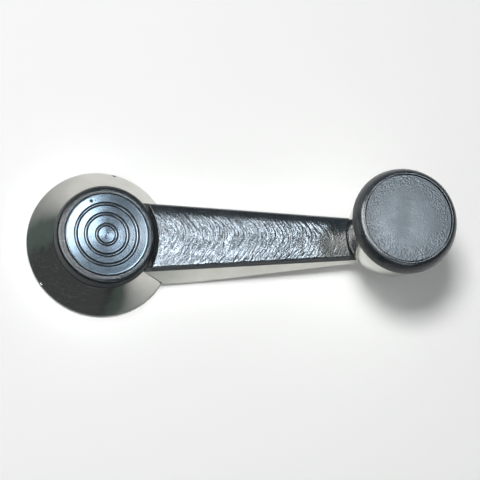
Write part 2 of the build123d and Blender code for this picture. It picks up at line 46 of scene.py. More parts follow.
# small helpers for shader trees and meshes
def wire(tree, source, target):
    tree.links.new(source, target)


def fill(tree, socket, value):
    # a socket takes a value or the output of another node
    if isinstance(value, bpy.types.NodeSocket):
        wire(tree, value, socket)
    elif value is not None:
        socket.default_value = value


def addNode(tree, kind, place=(0, 0), group=None, **inputs):
    node = tree.nodes.new(kind)
    node.location = place
    if group:
        node.node_tree = group
    for name, value in inputs.items():
        fill(tree, node.inputs[name.replace("_", " ")], value)
    return node


def addMath(tree, operation, place, first, second=None, clamp=False):
    node = addNode(tree, "ShaderNodeMath", place)
    node.operation = operation
    node.use_clamp = clamp
    for socket, value in zip(node.inputs, (first, second)):
        fill(tree, socket, value)
    return node.outputs[0]


def highest(tree, place, first, second):
    # the larger of two masks, where the first may be missing
    return second if first is None else addMath(tree, "MAXIMUM", place, first, second)


def addSplit(tree, place, vector):
    return addNode(tree, "ShaderNodeSeparateXYZ", place, Vector=vector).outputs


def addVector(tree, operation, place, *values):
    node = addNode(tree, "ShaderNodeVectorMath", place)
    node.operation = operation
    for socket, value in zip(node.inputs, values):
        fill(tree, socket, value)
    return node


def addMix(tree, place, factor, first, second):
    mix = addNode(tree, "ShaderNodeMix", place)
    mix.data_type = "RGBA"
    wire(tree, factor, mix.inputs["Factor"])
    for socket, value in ((mix.inputs[6], first), (mix.inputs[7], second)):
        fill(tree, socket, (*value, 1) if isinstance(value, tuple) else value)
    return mix.outputs[2]


def addRange(tree, place, source, low, high, outLow, outHigh):
    return addNode(tree, "ShaderNodeMapRange", place, Value=source, From_Min=low, From_Max=high,
                   To_Min=outLow, To_Max=outHigh).outputs["Result"]


def addBump(tree, place, height, strength, distance, normal=None):
    return addNode(tree, "ShaderNodeBump", place, Strength=strength, Distance=distance, Height=height,
                   Normal=normal).outputs["Normal"]


def newMaterial(name, **inputs):
    material = bpy.data.materials.new(name)
    material.use_nodes = True
    tree = material.node_tree
    tree.nodes.clear()
    output = addNode(tree, "ShaderNodeOutputMaterial", (900, 0))
    shader = addNode(tree, "ShaderNodeBsdfPrincipled", (600, 0), **inputs)
    wire(tree, shader.outputs["BSDF"], output.inputs["Surface"])
    return material, tree, shader


def newGroup(name, inputs, outputs):
    group = bpy.data.node_groups.new(name, "ShaderNodeTree")
    for title, default in inputs.items():
        kind = "NodeSocketVector" if default is None else "NodeSocketFloat"
        socket = group.interface.new_socket(name=title, in_out="INPUT", socket_type=kind)
        if default is not None:
            socket.default_value = default
    for title in outputs:
        group.interface.new_socket(name=title, in_out="OUTPUT", socket_type="NodeSocketFloat")
    groupIn = addNode(group, "NodeGroupInput", (-1000, 0))
    groupOut = addNode(group, "NodeGroupOutput", (800, 0))
    return group, groupIn.outputs, groupOut.inputs


def placeGroup(tree, group, place, vector, **values):
    return addNode(tree, "ShaderNodeGroup", place, group, Vector=vector, **values).outputs


def millimetres(tree, place=(-1400, 0)):
    # object coordinates in millimetres, the same on every piece
    coordinates = addNode(tree, "ShaderNodeTexCoord", (place[0] - 200, place[1]))
    scale = addVector(tree, "SCALE", place, coordinates.outputs["Object"])
    scale.inputs["Scale"].default_value = 1 / mm
    return scale.outputs["Vector"]


def upwardPart(tree, place):
    # vertical part of the surface's own normal: 1 on a flat top, 0 on a wall
    coordinates = addNode(tree, "ShaderNodeTexCoord", (place[0] - 200, place[1]))
    return addSplit(tree, place, coordinates.outputs["Normal"])["Z"]


def dress(material, *nodeNames):
    for nodeName in nodeNames:
        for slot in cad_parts[nodeName].material_slots:
            slot.material = material


def finishMesh(name, mesh):
    # a closed form drawn in millimetres becomes mesh data in metres
    bmesh.ops.recalc_face_normals(mesh, faces=mesh.faces)
    bmesh.ops.scale(mesh, vec=(mm, mm, mm), verts=mesh.verts)
    result = bpy.data.meshes.new(name)
    mesh.to_mesh(result)
    mesh.free()
    return result


def addPiece(name, mesh, material, body, cadNode, sharpAngle=40):
    mesh.materials.append(material)
    mesh.polygons.foreach_set("use_smooth", [True] * len(mesh.polygons))
    mesh.set_sharp_from_angle(angle=math.radians(sharpAngle))
    piece = bpy.data.objects.new(name, mesh)
    bpy.context.scene.collection.objects.link(piece)
    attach(piece, body)
    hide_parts(cadNode)
    return piece


# shared effects, each a node group that puts out masks or heights
def buildLeatherGrain():
    # raised pebbles parted by creases, with finer wrinkles drawn across them
    group, given, result = newGroup(
        "leatherGrain", {"Vector": None, "Pebble Size": 1.0, "Wrinkle Depth": 0.4}, ("Height", "Crease"))
    frequency = addMath(group, "DIVIDE", (-800, 0), 1.0, given["Pebble Size"])
    warp = addNode(group, "ShaderNodeTexNoise", (-800, -200), Vector=given["Vector"], Scale=0.9, Detail=2.0)
    shift = addVector(group, "MULTIPLY_ADD", (-600, 100), warp.outputs["Color"], (0.7, 0.7, 0.7),
                      given["Vector"])
    pebbles = addNode(group, "ShaderNodeTexVoronoi", (-400, 100), Vector=shift.outputs["Vector"],
                      Scale=frequency)
    pebbles.feature = "DISTANCE_TO_EDGE"
    fine = addNode(group, "ShaderNodeTexNoise", (-400, -200), Vector=given["Vector"], Scale=4.5, Detail=4.0,
                   Roughness=0.6)
    dome = addRange(group, (-150, 100), pebbles.outputs["Distance"], 0.0, 0.32, 0.0, 1.0)
    wrinkles = addMath(group, "MULTIPLY", (-150, -200), fine.outputs["Fac"], given["Wrinkle Depth"])
    wire(group, addMath(group, "ADD", (100, 0), dome, wrinkles), result["Height"])
    crease = addRange(group, (100, -200), pebbles.outputs["Distance"], 0.0, 0.1, 1.0, 0.0)
    wire(group, crease, result["Crease"])
    return group


def buildFineScratches():
    # thin broken lines in three directions, a few of them long
    group, given, result = newGroup(
        "fineScratches", {"Vector": None, "Spacing": 3.0, "Width": 0.01, "Amount": 0.5}, ("Mask",))
    frequency = addMath(group, "DIVIDE", (-800, 200), 1.0, given["Spacing"])
    total = None
    directions = ((0.5, 0.07), (1.9, 0.12), (2.6, 0.05))
    for index, (turn, stretch) in enumerate(directions):
        mapping = addNode(group, "ShaderNodeMapping", (-600, -300 * index), Vector=given["Vector"],
                          Location=(3.7 * index, 1.3 * index, 0), Rotation=(0.2 * index, 0.1, turn),
                          Scale=(stretch, 1, 1))
        cells = addNode(group, "ShaderNodeTexVoronoi", (-400, -300 * index),
                        Vector=mapping.outputs["Vector"], Scale=frequency)
        cells.feature = "DISTANCE_TO_EDGE"
        line = addMath(group, "LESS_THAN", (-200, -300 * index), cells.outputs["Distance"], given["Width"])
        patches = addNode(group, "ShaderNodeTexNoise", (-400, -150 - 300 * index), Vector=given["Vector"],
                          Scale=0.35 + 0.1 * index, Detail=1.0)
        kept = addMath(group, "GREATER_THAN", (-200, -150 - 300 * index), patches.outputs["Fac"], 0.55)
        broken = addMath(group, "MULTIPLY", (0, -300 * index), line, kept)
        total = highest(group, (200, -300 * index), total, broken)
    wire(group, addMath(group, "MULTIPLY", (500, 0), total, given["Amount"]), result["Mask"])
    return group


def buildSpecks():
    # scattered small round spots, most cells left empty
    group, given, result = newGroup(
        "specks", {"Vector": None, "Spacing": 4.0, "Size": 0.08, "Share": 0.25}, ("Mask",))
    frequency = addMath(group, "DIVIDE", (-800, 0), 1.0, given["Spacing"])
    cells = addNode(group, "ShaderNodeTexVoronoi", (-600, 0), Vector=given["Vector"], Scale=frequency)
    chance = addNode(group, "ShaderNodeSeparateColor", (-400, -200), Color=cells.outputs["Color"])
    size = addMath(group, "MULTIPLY", (-200, -200), given["Size"], chance.outputs["Green"])
    near = addMath(group, "LESS_THAN", (0, 0), cells.outputs["Distance"], size)
    chosen = addMath(group, "LESS_THAN", (0, -200), chance.outputs["Red"], given["Share"])
    wire(group, addMath(group, "MULTIPLY", (300, 0), near, chosen), result["Mask"])
    return group


def buildSmudges():
    # soft clouds of handling marks
    group, given, result = newGroup("smudges", {"Vector": None, "Size": 8.0, "Contrast": 0.5}, ("Mask",))
    frequency = addMath(group, "DIVIDE", (-800, 0), 1.0, given["Size"])
    clouds = addNode(group, "ShaderNodeTexNoise", (-600, 0), Vector=given["Vector"], Scale=frequency,
                     Detail=3.0, Roughness=0.55)
    spread = addMath(group, "SUBTRACT", (-400, 0), clouds.outputs["Fac"], 0.5)
    scaled = addMath(group, "MULTIPLY", (-200, 0), spread, given["Contrast"])
    wire(group, addMath(group, "ADD", (0, 0), scaled, 0.5, clamp=True), result["Mask"])
    return group


def buildTurnedLines():
    # circles left by a lathe about a vertical axis that stands at X
    group, given, result = newGroup(
        "turnedLines", {"Vector": None, "Axis X": 0.0, "Pitch": 0.1}, ("Height", "Radius"))
    split = addSplit(group, (-800, 0), given["Vector"])
    across = addMath(group, "SUBTRACT", (-600, 100), split["X"], given["Axis X"])
    flat = addNode(group, "ShaderNodeCombineXYZ", (-400, 0), X=across, Y=split["Y"])
    length = addVector(group, "LENGTH", (-200, 0), flat.outputs["Vector"])
    frequency = addMath(group, "DIVIDE", (-200, -200), 1.0, given["Pitch"])
    lines = addNode(group, "ShaderNodeTexNoise", (200, 0), Scale=frequency, Detail=3.0, Roughness=0.7)
    lines.noise_dimensions = "1D"
    wire(group, length.outputs["Value"], lines.inputs["W"])
    wire(group, lines.outputs["Fac"], result["Height"])
    wire(group, length.outputs["Value"], result["Radius"])
    return group


def buildSpotMark():
    # ragged patch about one point, for a chip, nick or dent
    group, given, result = newGroup(
        "spotMark", {"Vector": None, "X": 0.0, "Y": 0.0, "Z": 0.0, "Size": 1.0}, ("Mask",))
    centre = addNode(group, "ShaderNodeCombineXYZ", (-800, -200), X=given["X"], Y=given["Y"], Z=given["Z"])
    away = addVector(group, "DISTANCE", (-600, 0), given["Vector"], centre.outputs["Vector"])
    rough = addNode(group, "ShaderNodeTexNoise", (-600, -300), Vector=given["Vector"], Scale=2.6, Detail=3.0)
    reach = addMath(group, "MULTIPLY", (-300, -200), rough.outputs["Fac"], given["Size"])
    wire(group, addMath(group, "LESS_THAN", (0, 0), away.outputs["Value"], reach), result["Mask"])
    return group


leatherGrain = buildLeatherGrain()
fineScratches = buildFineScratches()
specks = buildSpecks()
smudges = buildSmudges()
turnedLines = buildTurnedLines()
spotMark = buildSpotMark()
print("shared effects built:", len(bpy.data.node_groups))

# bright plating over die cast and spun metal
# landShade is the colour of painted shade on the land beside the pad, where a plating has one
plateSettings = {
    "armPlate": {"colour": (0.50, 0.50, 0.465), "stain": (0.40, 0.395, 0.36), "polish": 0.06, "haze": 0.14,
                 "ripple": 0.10, "scratches": 0.12, "pits": 0.18, "landShade": (0.02, 0.02, 0.019)},
    "escutcheonPlate": {"colour": (0.60, 0.59, 0.56), "stain": (0.50, 0.49, 0.46), "polish": 0.05,
                        "haze": 0.09, "ripple": 0.05, "scratches": 0.11, "pits": 0.3, "landShade": None},
    "skirtPlate": {"colour": (0.50, 0.51, 0.47), "stain": (0.38, 0.38, 0.34), "polish": 0.05, "haze": 0.12,
                   "ripple": 0.04, "scratches": 0.25, "pits": 0.2, "landShade": None},
}
# where the plating has chipped, in millimetres: place and size
chipSettings = {
    "armPlate": ((39.0, -15.2, 2.0, 1.2), (101.5, 8.6, 8.6, 1.4)),
    "escutcheonPlate": ((6.6, 25.8, 2.0, 1.7), (-22.5, -15.0, 2.2, 0.9)),
    "skirtPlate": ((99.0, -13.5, 16.0, 0.8),),
}


# marks of use on the plating, in millimetres where they are lengths
platingWear = {"scratchColour": (0.70, 0.70, 0.66), "scratchSpacing": 3.4, "scratchWidth": 0.006,
               "scratchRough": 0.35, "chipColour": (0.10, 0.075, 0.055), "markRough": 0.75, "chipDull": 0.8,
               "pitSpacing": 2.6, "pitSize": 0.09, "depth": 0.04, "cloudSize": 9.0, "waveScale": 0.16}
# the land that borders the pad starts here, and the pad's root gap is this wide to either side
landSettings = {"start": 20.4, "rootHalf": 13.7, "flat": (0.75, 0.9)}


def landPaintedShade(tree, place):
    # painted shade on the flat land that borders the pad and in the gap at the pad's root
    flat = addRange(tree, (-1200, 700), upwardPart(tree, (-1400, 700)), *landSettings["flat"], 0.0, 1.0)
    split = addSplit(tree, (-1400, 900), place)
    along = addMath(tree, "GREATER_THAN", (-1200, 900), split["X"], landSettings["start"])
    offset = addMath(tree, "ABSOLUTE", (-1300, 1050), split["Y"])
    middle = addMath(tree, "LESS_THAN", (-1200, 1050), offset, landSettings["rootHalf"])
    return addMath(tree, "MULTIPLY", (-900, 800), flat, highest(tree, (-1000, 950), along, middle))


def makePlate(name):
    settings = plateSettings[name]
    wear = platingWear
    material, tree, shader = newMaterial(name, Metallic=1.0)
    place = millimetres(tree)
    clouds = placeGroup(tree, smudges, (-1100, 300), place, Size=wear["cloudSize"], Contrast=1.6)["Mask"]
    scratches = placeGroup(tree, fineScratches, (-1100, 0), place, Spacing=wear["scratchSpacing"],
                           Width=wear["scratchWidth"], Amount=settings["scratches"])["Mask"]
    pits = placeGroup(tree, specks, (-1100, -200), place, Spacing=wear["pitSpacing"], Size=wear["pitSize"],
                      Share=settings["pits"])["Mask"]
    chips = None
    for index, (x, y, z, size) in enumerate(chipSettings[name]):
        chip = placeGroup(tree, spotMark, (-1100, -400 - 250 * index), place, X=x, Y=y, Z=z, Size=size)
        chips = highest(tree, (-850, -400), chips, chip["Mask"])
    marks = highest(tree, (-700, -100), pits, chips)
    tint = addMix(tree, (-500, 300), addRange(tree, (-850, 300), clouds, 0.35, 0.9, 0.0, 0.6),
                  settings["colour"], settings["stain"])
    scored = addMix(tree, (-250, 300), scratches, tint, wear["scratchColour"])
    surface = addMix(tree, (0, 300), marks, scored, wear["chipColour"])
    if settings["landShade"]:
        # painted shade: the land beside the pad and the root gap turn dark, rough and less metallic
        landShade = landPaintedShade(tree, place)
        surface = addMix(tree, (200, 300), landShade, surface, settings["landShade"])
        marks = highest(tree, (-600, -100), marks, landShade)
        chips = highest(tree, (-600, -250), chips, landShade)
    wire(tree, surface, shader.inputs["Base Color"])
    gloss = addRange(tree, (-500, 100), clouds, 0.3, 0.9, settings["polish"], settings["haze"])
    scoredGloss = addMath(tree, "MULTIPLY", (-400, 0), scratches, wear["scratchRough"])
    markedGloss = addMath(tree, "MULTIPLY", (-250, 0), marks, wear["markRough"])
    worn = highest(tree, (-250, 100), gloss, scoredGloss)
    wire(tree, highest(tree, (0, 100), worn, markedGloss), shader.inputs["Roughness"])
    lost = addMath(tree, "MULTIPLY", (-250, -60), chips, wear["chipDull"])
    wire(tree, addMath(tree, "SUBTRACT", (0, -50), 1.0, lost), shader.inputs["Metallic"])
    ripple = addNode(tree, "ShaderNodeTexNoise", (-700, -300), Vector=place, Scale=wear["waveScale"],
                     Detail=1.5)
    waves = addBump(tree, (100, -300), ripple.outputs["Fac"], settings["ripple"], 1.0 * mm)
    sunk = addMath(tree, "SUBTRACT", (-250, -400), 1.0, highest(tree, (-400, -400), marks, scratches))
    wire(tree, addBump(tree, (350, -300), sunk, 0.5, wear["depth"] * mm, waves), shader.inputs["Normal"])
    return material


dress(makePlate("armPlate"), "crank_arm")
dress(makePlate("escutcheonPlate"), "escutcheon")
dress(makePlate("skirtPlate"), "knob_skirt")
print("plating done")

# black vinyl and plastic; "crown" is the radius about which a ring is rounded, and how fast it falls away
blackSettings = {
    "padVinyl": {"shine": 0.5, "colour": (0.012, 0.017, 0.022), "dusty": (0.019, 0.025, 0.031),
                 "gloss": 0.17, "dull": 0.25, "wall": 0.75, "pebble": 0.75, "wrinkle": 0.9, "relief": 0.012,
                 "scratches": 0.25, "crown": None},
    "ringVinyl": {"shine": 0.3, "colour": (0.010, 0.015, 0.019), "dusty": (0.022, 0.029, 0.034),
                  "gloss": 0.15, "dull": 0.26, "wall": 0.75, "pebble": 0.8, "wrinkle": 0.9, "relief": 0.042,
                  "scratches": 0.3, "crown": (16.2, -0.115)},
    "bezelPlastic": {"shine": 0.4, "colour": (0.010, 0.015, 0.020), "dusty": (0.019, 0.025, 0.031),
                     "gloss": 0.24, "dull": 0.32, "wall": 0.3, "pebble": 1.6, "wrinkle": 0.3, "relief": 0.006,
                     "scratches": 0.5, "crown": None},
    "insetVinyl": {"shine": 0.5, "colour": (0.040, 0.053, 0.064), "dusty": (0.064, 0.080, 0.092),
                   "gloss": 0.36, "dull": 0.48, "wall": 0.6, "pebble": 0.7, "wrinkle": 0.5, "relief": 0.02,
                   "scratches": 0.2, "crown": None},
}
blackWear = {"cloudSize": 7.0, "scratchSpacing": 2.8, "scratchWidth": 0.006, "dustSpacing": 1.5,
             "dustSize": 0.12, "dustShare": 0.05, "dustColour": (0.35, 0.38, 0.40), "creaseShade": 0.4}


def makeBlack(name):
    settings = blackSettings[name]
    wear = blackWear
    material, tree, shader = newMaterial(name, Specular_IOR_Level=settings["shine"])
    place = millimetres(tree)
    # walls stay matt, tops are rubbed glossy
    wall = addRange(tree, (-700, 600), upwardPart(tree, (-900, 600)), 0.3, 0.6, settings["wall"], 0.0)
    grain = placeGroup(tree, leatherGrain, (-1100, 0), place, Pebble_Size=settings["pebble"],
                       Wrinkle_Depth=settings["wrinkle"])
    clouds = placeGroup(tree, smudges, (-1100, 300), place, Size=wear["cloudSize"], Contrast=1.8)["Mask"]
    scratches = placeGroup(tree, fineScratches, (-1100, -250), place, Spacing=wear["scratchSpacing"],
                           Width=wear["scratchWidth"], Amount=settings["scratches"])["Mask"]
    dust = placeGroup(tree, specks, (-1100, -450), place, Spacing=wear["dustSpacing"], Size=wear["dustSize"],
                      Share=wear["dustShare"])["Mask"]
    dusty = addMix(tree, (-500, 300), addRange(tree, (-750, 300), clouds, 0.4, 1.0, 0.0, 0.8),
                   settings["colour"], settings["dusty"])
    creased = addMix(tree, (-250, 300), addMath(tree, "MULTIPLY", (-500, 100), grain["Crease"], 0.6), dusty,
                     tuple(wear["creaseShade"] * part for part in settings["colour"]))
    pale = addMath(tree, "MULTIPLY", (-250, 100), highest(tree, (-500, -50), scratches, dust), 0.35)
    wire(tree, addMix(tree, (0, 300), pale, creased, wear["dustColour"]), shader.inputs["Base Color"])
    gloss = addRange(tree, (-250, 0), clouds, 0.3, 0.9, settings["gloss"], settings["dull"])
    worn = highest(tree, (0, 0), gloss, addMath(tree, "MULTIPLY", (-250, -150), pale, 1.6))
    wire(tree, highest(tree, (200, 0), worn, wall), shader.inputs["Roughness"])
    cut = addMath(tree, "MULTIPLY", (-250, -300), pale, 0.5)
    relief = addMath(tree, "SUBTRACT", (0, -250), grain["Height"], cut)
    crown = None
    if settings["crown"]:
        crownRadius, crownFall = settings["crown"]
        radius = placeGroup(tree, turnedLines, (-600, -700), place, Axis_X=0.0, Pitch=1.0)["Radius"]
        across = addMath(tree, "SUBTRACT", (-400, -700), radius, crownRadius)
        square = addMath(tree, "MULTIPLY", (-200, -700), across, across)
        rounding = addMath(tree, "MULTIPLY", (0, -700), square, crownFall)
        crown = addBump(tree, (150, -600), rounding, 1.0, 1.0 * mm)
    grained = addBump(tree, (250, -250), relief, 0.9, settings["relief"] * mm, crown)
    wire(tree, grained, shader.inputs["Normal"])
    return material


dress(makeBlack("ringVinyl"), "hub_cap")
print("black plastics done")

# hidden metals: brass insert, plated fasteners, spring steel
metalSettings = {
    "machinedBrass": {"nodes": ("spline_insert",), "axis": 0.0, "colour": (0.62, 0.46, 0.20),
                      "tarnish": (0.30, 0.20, 0.09), "gloss": 0.24, "dull": 0.5, "pitch": 0.12},
    "zincSteel": {"nodes": ("spindle_screw", "flat_washer"), "axis": 0.0, "colour": (0.52, 0.52, 0.49),
                  "tarnish": (0.34, 0.33, 0.29), "gloss": 0.28, "dull": 0.48, "pitch": 0.2},
    "studSteel": {"nodes": ("knob_pin", "rivet_washer"), "axis": 108.0, "colour": (0.56, 0.56, 0.56),
                  "tarnish": (0.33, 0.30, 0.26), "gloss": 0.2, "dull": 0.42, "pitch": 0.15},
    "springSteel": {"nodes": ("lock_washer", "escutcheon_clip"), "axis": 0.0, "colour": (0.16, 0.16, 0.17),
                    "tarnish": (0.10, 0.075, 0.06), "gloss": 0.34, "dull": 0.6, "pitch": 0.3},
    "nutSteel": {"nodes": ("push_nut", "spring_washer"), "axis": 108.0, "colour": (0.24, 0.24, 0.26),
                 "tarnish": (0.14, 0.11, 0.09), "gloss": 0.3, "dull": 0.5, "pitch": 0.3},
}


def makeTurnedMetal(name):
    settings = metalSettings[name]
    material, tree, shader = newMaterial(name, Metallic=1.0)
    place = millimetres(tree)
    turned = placeGroup(tree, turnedLines, (-1100, 0), place, Axis_X=settings["axis"],
                        Pitch=settings["pitch"])
    clouds = placeGroup(tree, smudges, (-1100, 300), place, Size=3.0, Contrast=2.0)["Mask"]
    spots = placeGroup(tree, specks, (-1100, -300), place, Spacing=0.9, Size=0.2, Share=0.15)["Mask"]
    aged = highest(tree, (-600, 300), addRange(tree, (-850, 300), clouds, 0.35, 0.85, 0.0, 0.9), spots)
    wire(tree, addMix(tree, (-200, 300), aged, settings["colour"], settings["tarnish"]),
         shader.inputs["Base Color"])
    wire(tree, addRange(tree, (-200, 0), aged, 0.0, 1.0, settings["gloss"], settings["dull"]),
         shader.inputs["Roughness"])
    wire(tree, addBump(tree, (200, -200), turned["Height"], 0.5, 0.02 * mm), shader.inputs["Normal"])
    dress(material, *settings["nodes"])


for name in metalSettings:
    makeTurnedMetal(name)

# pressed felt and moulded plastic
roughSpread = 0.05
softSettings = {
    "pressedFelt": {"nodes": ("friction_washer",), "colour": (0.17, 0.16, 0.15),
                    "pale": (0.30, 0.29, 0.27), "grain": 14.0, "relief": 0.12, "roughness": 0.95},
    "blackFelt": {"nodes": ("felt_ring",), "colour": (0.016, 0.016, 0.017),
                  "pale": (0.05, 0.05, 0.052), "grain": 14.0, "relief": 0.12, "roughness": 0.95},
    "whiteAcetal": {"nodes": ("thrust_washer", "knob_bush"), "colour": (0.72, 0.71, 0.66),
                    "pale": (0.80, 0.79, 0.75), "grain": 2.0, "relief": 0.01, "roughness": 0.38},
    "blackMoulding": {"nodes": ("knob_core",), "colour": (0.022, 0.022, 0.023),
                      "pale": (0.045, 0.045, 0.046), "grain": 4.0, "relief": 0.02, "roughness": 0.5},
}


def makeSoft(name):
    settings = softSettings[name]
    material, tree, shader = newMaterial(name)
    place = millimetres(tree)
    fibres = addNode(tree, "ShaderNodeTexNoise", (-1100, 0), Vector=place, Scale=settings["grain"],
                     Detail=5.0, Roughness=0.7, Distortion=1.5)
    clouds = placeGroup(tree, smudges, (-1100, 300), place, Size=4.0, Contrast=1.5)["Mask"]
    blend = addMath(tree, "MULTIPLY", (-700, 200), fibres.outputs["Fac"], clouds)
    wire(tree, addMix(tree, (-300, 300), addRange(tree, (-500, 200), blend, 0.1, 0.5, 0.0, 1.0),
                      settings["colour"], settings["pale"]), shader.inputs["Base Color"])
    gloss = addRange(tree, (-300, 0), clouds, 0.0, 1.0,
                     settings["roughness"] - roughSpread, settings["roughness"] + roughSpread)
    wire(tree, gloss, shader.inputs["Roughness"])
    wire(tree, addBump(tree, (200, -200), fibres.outputs["Fac"], 0.8, settings["relief"] * mm),
         shader.inputs["Normal"])
    dress(material, *settings["nodes"])


for name in softSettings:
    makeSoft(name)
print("hidden pieces dressed")


# arm pad: grained vinyl tray drawn over the arm's land
padSettings = {"slope": 2.25, "drop": 16.0, "height": 3.0, "edgeRound": 0.9, "endRound": 0.35,
               "rootArc": 25.0, "tipArc": 15.3, "rootStation": 20.0, "rootHalf": 12.8, "tipStation": 90.0,
               "tipHalf": 8.5, "rootHeight": 12.5, "startStation": 19.9, "firstLength": 72.0, "throw": 108.0,
               "alongSteps": 520, "acrossSteps": 165, "roundSteps": 5, "sink": 0.03,
               "crown": 0.45, "crownFar": 0.75, "tipRise": 0.5, "tipStart": 84.0, "tipRun": 7.0,
               "tipMiddle": -1.0, "tipHalfWidth": 4.5}
# spacing, length and noise slice of each set of creases, and how deep and wide they are
creaseSettings = {"sets": ((0.80, 5.5, 1.7), (1.25, 7.0, 6.1)), "width": 0.30, "depth": 0.030,
                  "chevron": 0.85, "middle": 1.0, "pointRound": 3.0, "bendSize": 0.16, "bend": 1.3,
                  "pebble": 0.9, "pebbleDepth": 0.009, "swell": 0.06, "edgeFade": 3.0, "smoothBand": 3.3,
                  "wallRipple": 0.02}


def padHalf(x):
    share = (x - padSettings["rootStation"]) / (padSettings["tipStation"] - padSettings["rootStation"])
    foot = padSettings["rootHalf"] + (padSettings["tipHalf"] - padSettings["rootHalf"]) * share
    return foot - padSettings["height"] * math.tan(math.radians(padSettings["drop"]))


def padTop(x):
    tilt = math.radians(padSettings["slope"])
    ledge = padSettings["rootHeight"] - math.tan(tilt) * (x - padSettings["rootStation"])
    return ledge + padSettings["height"] / math.cos(tilt) - padSettings["sink"]


def padGrain(x, y):
    # thin creases in a chevron about the middle of the arm, faint pebbles, and a slow unevenness
    settings = creaseSettings
    bendSize, pebble = settings["bendSize"], settings["pebble"]
    bend = noise.noise_vector(Vector((x * bendSize, y * bendSize, 4.0))) * settings["bend"]
    lean = x + settings["chevron"] * math.hypot(y - settings["middle"], settings["pointRound"])
    creases = 0
    for spacing, length, level in settings["sets"]:
        value = noise.noise(Vector(((lean + bend.x) / spacing, (y + bend.y) / length, level)))
        creases += max(0.0, 1 - abs(value) / settings["width"])
    near = noise.voronoi(Vector((x / pebble + bend.x, y / pebble + bend.y, 0.0)))[0]
    dome = min(1.0, (near[1] - near[0]) * 1.6)
    slow = noise.noise(Vector((x * 0.16, y * 0.2, 8.0)))
    # the grain gets a little deeper towards the knob
    deep = 1.25 + (x - padSettings["rootStation"]) / 110
    grain = settings["pebbleDepth"] * (dome - 1) - settings["depth"] * creases
    return deep * grain + settings["swell"] * slow


def padCrown(x, y):
    # the top falls away towards both long edges, and rises a little in front of the knob
    settings = padSettings
    share = abs(y) / padHalf(x)
    rise = min(1.0, max(0.0, (x - settings["tipStart"]) / settings["tipRun"]))
    rise *= math.exp(-((y - settings["tipMiddle"]) / settings["tipHalfWidth"]) ** 2)
    fall = settings["crownFar"] if y > 0 else settings["crown"]
    return settings["tipRise"] * rise - fall * share ** 4


def grainFade(x, y, inset):
    # the grain dies out at the rim, and the edge away from the driver is rubbed smooth
    edge = min(padHalf(x) - inset - abs(y), creaseSettings["edgeFade"])
    band = min(1.0, max(0.15, (padHalf(x) - y) / creaseSettings["smoothBand"] - 0.35))
    return band * min(1.0, 0.35 + edge)


def buildPadMesh():
    rootCentre = padSettings["startStation"] - padSettings["rootArc"]
    roundSize, endSize = padSettings["edgeRound"], padSettings["endRound"]
    sideDrop = math.radians(padSettings["drop"])
    sideInset = roundSize * math.tan((math.pi / 2 - sideDrop) / 2)
    mesh = bmesh.new()

    def station(s, t):
        # s runs from the hub's end to the knob's end, t from one side to the other
        x = padSettings["startStation"] + s * padSettings["firstLength"]
        for _ in range(4):
            y = t * (padHalf(x) - sideInset)
            start = rootCentre + math.sqrt((padSettings["rootArc"] + endSize) ** 2 - y * y)
            stop = padSettings["throw"] - math.sqrt((padSettings["tipArc"] + endSize) ** 2 - y * y)
            x = start + (stop - start) * s
        return x, y

    def outward(s, t, x, y):
        # directions that lead off the pad at its ends and at its sides
        end = Vector((0, 0))
        if s == 0:
            end = Vector((rootCentre - x, -y)).normalized()
        elif s == 1:
            end = Vector((padSettings["throw"] - x, -y)).normalized()
        side = Vector((0, math.copysign(1, t))) if abs(t) == 1 else Vector((0, 0))
        return end, side

    along, across = padSettings["alongSteps"], padSettings["acrossSteps"]
    grid, loops = [], [[] for _ in range(padSettings["roundSteps"] + 2)]
    for i in range(along + 1):
        row = []
        for j in range(across + 1):
            s, t = i / along, -1 + 2 * j / across
            x, y = station(s, t)
            grain = padGrain(x, y) * grainFade(x, y, sideInset)
            row.append(mesh.verts.new((x, y, padTop(x) + padCrown(x, y) + grain)))
        grid.append(row)
    for i in range(along):
        for j in range(across):
            mesh.faces.new((grid[i][j], grid[i + 1][j], grid[i + 1][j + 1], grid[i][j + 1]))
    rim = [(i, 0) for i in range(along)] + [(along, j) for j in range(across)]
    rim += [(i, across) for i in range(along, 0, -1)] + [(0, j) for j in range(across, 0, -1)]
    for i, j in rim:
        s, t = i / along, -1 + 2 * j / across
        x, y = station(s, t)
        end, side = outward(s, t, x, y)
        loops[0].append(grid[i][j])
        for k in range(1, padSettings["roundSteps"] + 1):
            turn = k / padSettings["roundSteps"]
            endTurn, sideTurn = turn * math.pi / 2, turn * (math.pi / 2 - sideDrop)
            endOut, endFall = endSize * math.sin(endTurn), endSize * (1 - math.cos(endTurn))
            sideOut, sideFall = roundSize * math.sin(sideTurn), roundSize * (1 - math.cos(sideTurn))
            fall = max(endFall if end.length else 0, sideFall if side.length else 0)
            px, py = x + end.x * endOut, y + end.y * endOut + side.y * sideOut
            ripple = creaseSettings["wallRipple"] * noise.noise(Vector((px * 1.3, py * 1.3, fall * 2.0)))
            loops[k].append(mesh.verts.new((px, py + side.y * ripple, padTop(px) + padCrown(x, y) - fall)))
        footOut = padSettings["height"] * math.tan(sideDrop) + sideInset
        px = x + end.x * endSize
        py = y + end.y * endSize + side.y * footOut
        loops[-1].append(mesh.verts.new((px, py, padTop(px) - padSettings["height"])))
    for inner, outer in zip(loops, loops[1:]):
        for a in range(len(rim)):
            b = (a + 1) % len(rim)
            mesh.faces.new((inner[a], inner[b], outer[b], outer[a]))
    mesh.faces.new(list(reversed(loops[-1])))
    return finishMesh("padMesh", mesh)


armPad = addPiece("armPadVinyl", buildPadMesh(), makeBlack("padVinyl"), "crank", "arm_pad",
                  sharpAngle=60)
print("arm pad built:", len(armPad.data.polygons), "faces")
